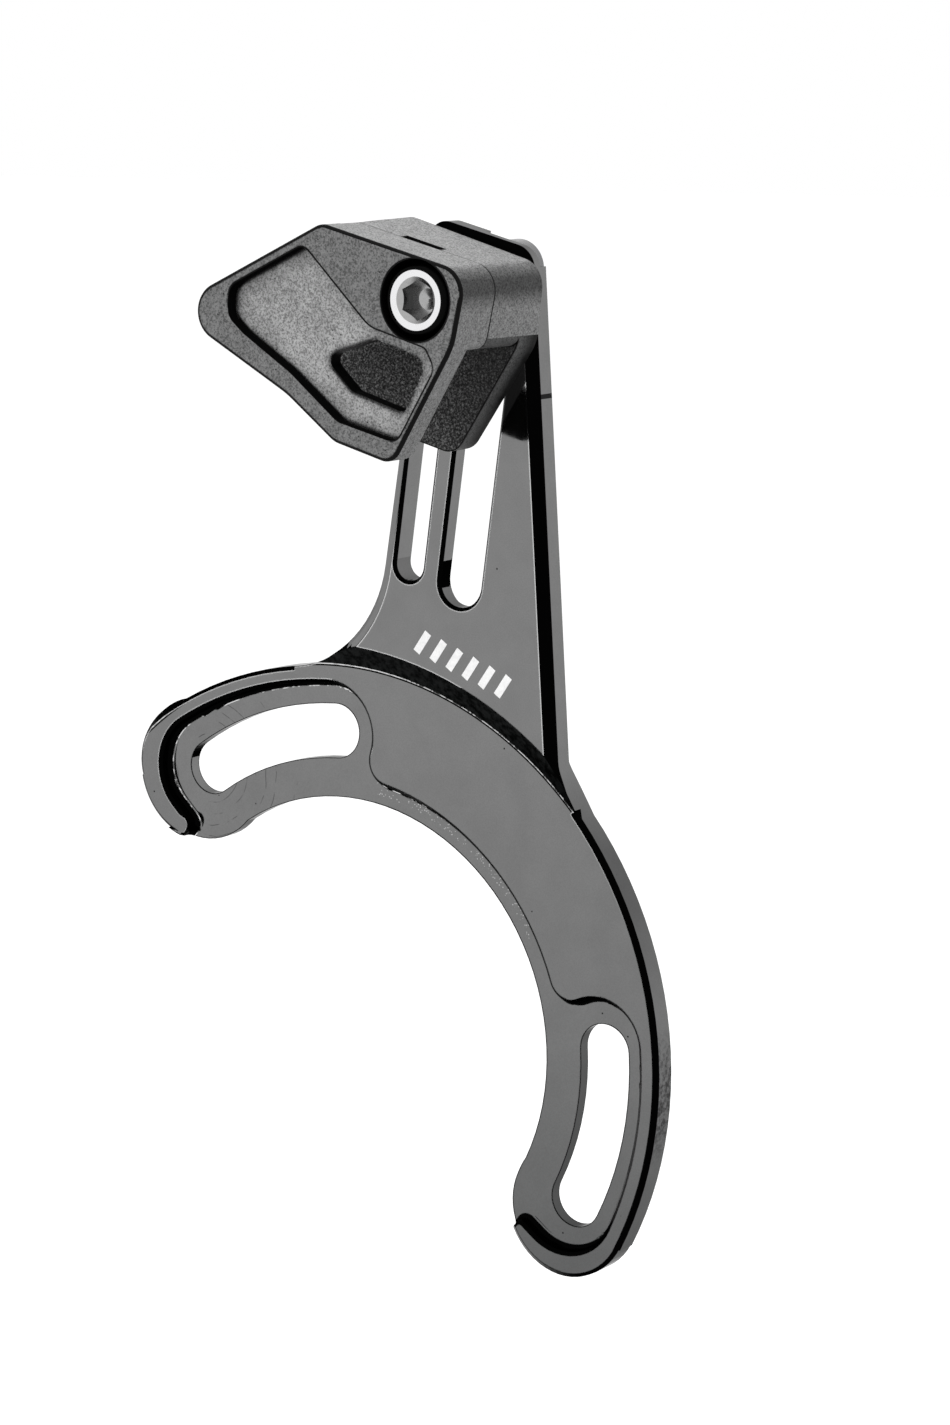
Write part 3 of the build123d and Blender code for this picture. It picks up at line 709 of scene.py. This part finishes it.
class GUIDE_OT_cage_finish(bpy.types.Operator):
    """Give both halves of the cage their satin moulded plastic with a fine grain"""

    bl_idname = "guide.cage_finish"
    bl_label = "Finish cage"

    def execute(self, context):
        look = context.scene.guide_cage_finish
        for node in ("outer_guide", "inner_guide"):
            self.plastic(look, node)
        return {"FINISHED"}

    def plastic(self, look, node):
        """Dress one half, with the marks that both halves share and those of its own."""
        material, graph, shader = new_material(node.replace("_", " ").capitalize() + " plastic")
        at = place_nodes(graph, BOLT_AXIS)
        facing = place_facing(graph, 0.4 * MM)
        wall = graph.below(facing["Bare Out"], 0.5)
        grain = graph.noise(at.point, 1 / look.grain_size, 3.0, 0.7)
        mottle = graph.noise(at.point, 1300.0, 5.0, 0.7)

        # painted light: the right side and the faces turned up are paler than the front
        side = graph.both(wall, graph.above(facing["Across"], 0.3))
        colour = graph.mix(side, tuple(look.plastic_grey), tuple(look.side_painted_light))
        colour = graph.mix(graph.span(facing["Up"], 0.80, 0.95), colour, tuple(look.roof_painted_light))
        if node == "outer_guide":
            colour = self.pocket_floor(graph, look, colour, at, facing)
        else:
            colour = self.chain_side(graph, look, colour, at, wall, facing)
        colour = graph.darken(graph.span(mottle, 0.40, 0.62), colour, 0.78)
        colour = graph.darken(graph.span(grain, 0.45, 0.60), colour, 0.42)
        specks = place_dots(graph, at.point, 0.9 * MM, 0.24 * MM, 0.40)
        colour = graph.darken(specks, colour, 0.15)

        # the side falls into shade just below its rounded corner with the roof
        corner = graph.both(graph.fade(at.z, -1.2, 0.8), graph.fade(at.z, 3.8, 2.2),
                            graph.above(facing["Across"], 0.35), wall)
        colour = graph.darken(corner, colour, 0.30)
        parting = PARTING_OUT / MM
        seam = graph.both(wall, graph.region(at, out=(parting - 0.10, parting + 0.12)),
                          graph.below(facing["Up"], 0.8))
        # painted shade: black in the roof's slit; the seam is a dark joint
        slit = graph.region(at, x=ROOF_SLIT, z=(0, None), out=(parting - 1.3, parting + 0.05))
        black = graph.either(seam, slit)
        if node == "outer_guide":
            black = graph.either(black, self.front_blacks(graph, at, wall, facing))
        colour = graph.mix(black, colour, tuple(look.joint_and_painted_shade_black))

        # mirrored in the anodised plate the cage shows almost black
        mirrored = graph.node("ShaderNodeLightPath").outputs["Is Glossy Ray"]
        colour = graph.darken(mirrored, colour, 0.02)

        graph.feed(shader.inputs["Base Color"], colour)
        shader.inputs["Roughness"].default_value = look.roughness
        shader.inputs["Specular IOR Level"].default_value = 0.10
        bump = graph.node("ShaderNodeBump", {"Strength": look.grain_depth, "Distance": 0.1 * MM,
                                             "Height": grain})
        graph.feed(shader.inputs["Normal"], bump.outputs["Normal"])
        dress(node, material)

    def pocket_floor(self, graph, look, colour, at, facing):
        """Paler pocket floor, speckled near its walls, darkened near them and black along their
        feet with painted shade.
        """
        floor_out = CAGE_FACE_OUT / MM - POCKET_DEPTH
        sunk = graph.both(graph.region(at, out=(floor_out - 0.1, floor_out + 0.1)),
                          graph.above(facing["Bare Out"], 0.9))
        wide = place_facing(graph, 1.6 * MM)
        near_wall = graph.span(wide["Out"], 0.999, 0.93)
        lit_side = graph.either(graph.above(wide["Across"], 0.05),
                                graph.both(graph.above(wide["Up"], 0.1),
                                           graph.above(wide["Across"], -0.3)))
        cloud = graph.noise(at.point, 260.0, 2.0)
        floor = graph.darken(graph.span(cloud, 0.35, 0.65), tuple(look.pocket_grey), 0.80)
        floor = graph.darken(graph.math("MULTIPLY", near_wall, 0.6), floor, 0.55)
        specks = place_dots(graph, at.point, 0.45 * MM, 0.28 * MM, 0.6)
        floor = graph.darken(graph.both(specks, near_wall), floor, 0.2)
        # painted shade: black along the feet of the walls, dotted along the far ones
        foot = graph.both(graph.span(wide["Out"], 0.93, 0.86), lit_side)
        floor = graph.mix(foot, floor, tuple(look.joint_and_painted_shade_black))
        dotted = graph.both(graph.span(wide["Out"], 0.84, 0.79), graph.other(lit_side),
                            graph.above(graph.noise(at.point, 1800.0), 0.46))
        floor = graph.mix(dotted, floor, tuple(look.joint_and_painted_shade_black))
        return graph.mix(sunk, colour, floor)

    def chain_side(self, graph, look, colour, at, wall, facing):
        """Face towards the chain darkened with painted shade, with painted glints, painted shade on
        the underside and a black rim.
        """
        inside = graph.both(graph.above(facing["Bare Out"], 0.9), graph.region(at, **CHAIN_FACE))
        colour = graph.mix(inside, colour, tuple(look.chain_face_painted_shade))
        glint = graph.span(graph.noise(at.point, 3600.0, 3.0, 0.8), 0.46, 0.64)
        pale = graph.span(at.x, 2 * MM, -6 * MM, 0.35, 0.95)
        colour = graph.mix(graph.both(inside, glint, pale), colour, (0.26, 0.26, 0.26))
        under = graph.both(wall, graph.region(at, **UNDERSIDE), graph.above(facing["Across"], 0.2))
        colour = graph.darken(under, colour, 0.35)
        colour = graph.darken(graph.both(under, graph.fade(at.out, 7.6, 5.6)), colour, 0.08)
        rim = graph.both(graph.within(facing["Out"], 0.25, 0.97),
                         graph.region(at, **CHAIN_FACE_RIM))
        return graph.mix(rim, colour, tuple(look.joint_and_painted_shade_black))

    def front_blacks(self, graph, at, wall, facing):
        """Painted shade in black on the front edge, the walls of the pocket and the window, and the
        gap round the bolt's head.
        """
        edge = graph.both(graph.within(facing["Bare Out"], 0.05, 0.985),
                          graph.region(at, **FRONT_EDGE))
        turned_away = graph.either(graph.below(facing["Across"], -0.01),
                                   graph.below(facing["Up"], -0.01))
        brim = graph.both(graph.region(at, **FRONT_BRIM), graph.below(facing["Out"], 0.9975),
                          turned_away)
        from_pocket = place_nodes(graph, POCKET_MIDDLE)
        inward = graph.math("ADD", graph.math("MULTIPLY", from_pocket.x, facing["Across"]),
                            graph.math("MULTIPLY", from_pocket.z, facing["Up"]))
        pocket = graph.both(wall, graph.below(inward, 0.0), graph.region(at, **POCKET_SIDES))
        from_window = place_nodes(graph, WINDOW_MIDDLE)
        window = graph.both(wall, graph.region(from_window, **WINDOW_SIDES))
        return graph.either(edge, brim, pocket, window, graph.region(at, **HEAD_GAP))


class GUIDE_OT_bolt_finish(bpy.types.Operator):
    """Give the clamp bolt and its nut turned steel, with painted shade in the socket and on the
    head's side
    """

    bl_idname = "guide.bolt_finish"
    bl_label = "Finish bolt"

    def execute(self, context):
        look = context.scene.guide_bolt_finish
        material, graph, shader = new_material("Turned steel")
        at = place_nodes(graph, BOLT_AXIS)
        facing = place_facing(graph, 0.1 * MM)
        # painted light and shade: the socket's facets lighter or darker by the side they face
        facets = graph.mix(graph.span(facing["Across"], -0.9, 0.9), (0.34, 0.34, 0.34),
                           tuple(look.socket_painted_shade))
        facets = graph.mix(graph.above(facing["Bare Out"], 0.5), facets, (0.42, 0.42, 0.42))
        colour = graph.mix(graph.region(at, **SOCKET), tuple(look.steel), facets)
        colour = graph.mix(graph.region(at, **BOLT_END), colour, tuple(look.zinc))
        # painted shade: the head's side black
        colour = graph.mix(graph.region(at, **HEAD_SIDE), colour, (0.004, 0.004, 0.004))
        graph.feed(shader.inputs["Base Color"], colour)
        shader.inputs["Metallic"].default_value = 1.0
        brushed = graph.noise(at.point, 1800.0, 3.0, 0.6)
        graph.feed(shader.inputs["Roughness"], graph.span(brushed, 0.3, 0.7, 0.18, 0.34))
        dress("clamp_bolt", material)
        dress("slot_nut", material)
        return {"FINISHED"}


class GUIDE_OT_printed_bars(bpy.types.Operator):
    """Print a row of plain white bars on the foot of the mast"""

    bl_idname = "guide.printed_bars"
    bl_label = "Print bars"

    def execute(self, context):
        look = context.scene.guide_printed_bars
        ink, graph, shader = new_material("White ink")
        point = graph.node("ShaderNodeTexCoord").outputs["Object"]
        worn = graph.noise(point, 2500.0, 3.0, 0.6)
        colour = graph.mix(graph.span(worn, 0.3, 0.7), (0.80, 0.80, 0.80), (0.92, 0.92, 0.92))
        graph.feed(shader.inputs["Base Color"], colour)
        shader.inputs["Roughness"].default_value = 0.5
        tree = self.bar_tree(ink)
        first = Vector((look.first_middle[0], -PLATE_FACE_OUT, look.first_middle[1]))
        last = Vector((look.last_middle[0], -PLATE_FACE_OUT, look.last_middle[1]))
        sizes = {
            "Count": look.count, "Start": first, "End": last,
            "Bar Size": Vector((look.width, 2 * look.ink_height, look.length)),
            "Lean": look.slant,
        }
        bars = solid_from_tree("printed_bars", tree, sizes)
        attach(bars, "plate")
        return {"FINISHED"}

    def bar_tree(self, ink):
        """Row of leaning blocks between two points."""
        tree = bpy.data.node_groups.new("Bar row", "GeometryNodeTree")
        for label, kind in (("Count", "NodeSocketInt"), ("Start", "NodeSocketVector"),
                            ("End", "NodeSocketVector"), ("Bar Size", "NodeSocketVector"),
                            ("Lean", "NodeSocketFloat")):
            tree.interface.new_socket(name=label, in_out="INPUT", socket_type=kind)
        tree.interface.new_socket(name="Geometry", in_out="OUTPUT",
                                  socket_type="NodeSocketGeometry")
        graph = Graph(tree)
        given = graph.node("NodeGroupInput").outputs
        row = graph.node("GeometryNodeMeshLine", mode="END_POINTS")
        graph.feed(row.inputs["Count"], given["Count"])
        graph.feed(row.inputs["Start Location"], given["Start"])
        graph.feed(row.inputs["Offset"], given["End"])
        bar = graph.node("GeometryNodeMeshCube", {"Size": given["Bar Size"]})
        turn = graph.node("ShaderNodeCombineXYZ", {"Y": given["Lean"]})
        placed = graph.node("GeometryNodeInstanceOnPoints", {
            "Points": row.outputs["Mesh"], "Instance": bar.outputs["Mesh"],
            "Rotation": turn.outputs[0]})
        real = graph.node("GeometryNodeRealizeInstances", {"Geometry": placed.outputs["Instances"]})
        inked = graph.node("GeometryNodeSetMaterial", {"Geometry": real.outputs["Geometry"],
                                                       "Material": ink})
        graph.feed(graph.node("NodeGroupOutput").inputs["Geometry"], inked.outputs["Geometry"])
        return tree


def solid_from_tree(name, tree, sizes):
    """Plain mesh object made by a Geometry Nodes tree with the given sizes."""
    carrier = bpy.data.objects.new(name, bpy.data.meshes.new(name))
    bpy.context.scene.collection.objects.link(carrier)
    modifier = carrier.modifiers.new(name, "NODES")
    modifier.node_group = tree
    for socket in tree.interface.items_tree:
        if socket.in_out == "INPUT" and socket.name in sizes:
            modifier[socket.identifier] = sizes[socket.name]
    evaluated = carrier.evaluated_get(bpy.context.evaluated_depsgraph_get())
    mesh = bpy.data.meshes.new_from_object(evaluated)
    carrier.modifiers.remove(modifier)
    carrier.data = mesh
    return carrier


class GUIDE_OT_studio(bpy.types.Operator):
    """Set up the pale floor, the soft lamps, the white surroundings and the camera"""

    bl_idname = "guide.studio"
    bl_label = "Set up studio"

    def execute(self, context):
        look = context.scene.guide_studio
        scene = context.scene
        scene.view_settings.view_transform = "Standard"
        self.surroundings(scene, look)
        self.floor(scene, look)
        self.lamps(scene, look)
        self.camera(scene, look)
        return {"FINISHED"}

    def surroundings(self, scene, look):
        """White to the camera and in reflections, softer as light."""
        world = bpy.data.worlds.new("White surroundings")
        scene.world = world
        world.use_nodes = True
        world.node_tree.nodes.clear()
        graph = Graph(world.node_tree)
        path = graph.node("ShaderNodeLightPath").outputs
        seen = graph.math("MAXIMUM", path["Is Camera Ray"], path["Is Glossy Ray"])
        seen = graph.math("MAXIMUM", seen, path["Is Transmission Ray"])
        strength = graph.span(seen, 0.0, 1.0, look.world_light, 1.0)
        light = graph.node("ShaderNodeBackground", {"Color": (1, 1, 1), "Strength": strength})
        output = graph.node("ShaderNodeOutputWorld")
        graph.feed(output.inputs["Surface"], light.outputs["Background"])

    def floor(self, scene, look):
        """Wide pale floor that keeps the shadow and looks white to the camera."""
        material, graph, shader = new_material("Pale floor")
        shader.inputs["Roughness"].default_value = 0.9
        shader.inputs["Base Color"].default_value = (0.85, 0.85, 0.85, 1)
        path = graph.node("ShaderNodeLightPath").outputs
        shader.inputs["Emission Color"].default_value = (1, 1, 1, 1)
        glow = graph.math("MULTIPLY", path["Is Camera Ray"], 0.35)
        graph.feed(shader.inputs["Emission Strength"], glow)
        white = graph.node("ShaderNodeEmission", {"Color": (1, 1, 1), "Strength": 1.0})
        blend = graph.node("ShaderNodeMixShader")
        graph.feed(blend.inputs[0], path["Is Glossy Ray"])
        graph.feed(blend.inputs[1], shader.outputs["BSDF"])
        graph.feed(blend.inputs[2], white.outputs["Emission"])
        output = next(node for node in material.node_tree.nodes if node.type == "OUTPUT_MATERIAL")
        graph.feed(output.inputs["Surface"], blend.outputs["Shader"])
        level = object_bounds()[0].z - look.floor_drop
        mesh = bpy.data.meshes.new("floor")
        corners = [(x * FLOOR_HALF_WIDTH, y * FLOOR_HALF_WIDTH, level)
                   for x, y in ((-1, -1), (1, -1), (1, 1), (-1, 1))]
        mesh.from_pydata(corners, [], [(0, 1, 2, 3)])
        mesh.materials.append(material)
        floor = bpy.data.objects.new("floor", mesh)
        scene.collection.objects.link(floor)
        floor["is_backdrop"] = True

    def lamps(self, scene, look):
        """Large soft lamp above, a smaller one at the left front and one at the right."""
        for name, place, size, share in LAMPS:
            lamp = bpy.data.lights.new(name, "AREA")
            lamp.energy = look.key_power * share
            lamp.size = size
            placed = bpy.data.objects.new(name, lamp)
            placed.location = place
            aim = LAMP_AIM - placed.location
            placed.rotation_mode = "QUATERNION"
            placed.rotation_quaternion = aim.to_track_quat("-Z", "Y")
            placed.visible_glossy = False
            scene.collection.objects.link(placed)

    def camera(self, scene, look):
        """Camera at the photo's viewing angle."""
        level = cos(look.elevation)
        back = Vector((sin(look.azimuth) * level, -cos(look.azimuth) * level, sin(look.elevation)))
        data = bpy.data.cameras.new("camera")
        data.lens = look.lens
        data.sensor_width = 36.0
        data.clip_start = 0.01
        data.clip_end = 100.0
        camera = bpy.data.objects.new("camera", data)
        camera.location = Vector(look.aim) + back * look.distance
        camera.rotation_mode = "QUATERNION"
        camera.rotation_quaternion = (-back).to_track_quat("-Z", "Y")
        scene.collection.objects.link(camera)
        scene.camera = camera


class GUIDE_PT_panel(bpy.types.Panel):
    """Finishes and studio of the chain guide"""

    bl_idname = "GUIDE_PT_panel"
    bl_label = "Chain guide"
    bl_space_type = "VIEW_3D"
    bl_region_type = "UI"
    bl_category = "Chain guide"

    def draw(self, context):
        for operator in OPERATORS:
            box = self.layout.box()
            name = operator.bl_idname.replace(".", "_")
            if name in SETTINGS:
                for label in SETTINGS[name].__annotations__:
                    box.prop(getattr(context.scene, name), label)
            box.operator(operator.bl_idname)


OPERATORS = (
    GUIDE_OT_plate_finish,
    GUIDE_OT_arm_end,
    GUIDE_OT_cage_finish,
    GUIDE_OT_bolt_finish,
    GUIDE_OT_printed_bars,
    GUIDE_OT_studio,
)
CLASSES = (*SETTINGS.values(), *OPERATORS, GUIDE_PT_panel)


def register():
    for kind in CLASSES:
        bpy.utils.register_class(kind)
    for name, group in SETTINGS.items():
        setattr(bpy.types.Scene, name, bpy.props.PointerProperty(type=group))


def unregister():
    for name in SETTINGS:
        delattr(bpy.types.Scene, name)
    for kind in reversed(CLASSES):
        bpy.utils.unregister_class(kind)


def main():
    register()
    facing_group()
    speckle_group()
    tool_mark_group()
    bpy.ops.guide.plate_finish()
    bpy.ops.guide.arm_end()
    bpy.ops.guide.cage_finish()
    bpy.ops.guide.bolt_finish()
    bpy.ops.guide.printed_bars()
    bpy.ops.guide.studio()


if __name__ == "__main__":
    main()
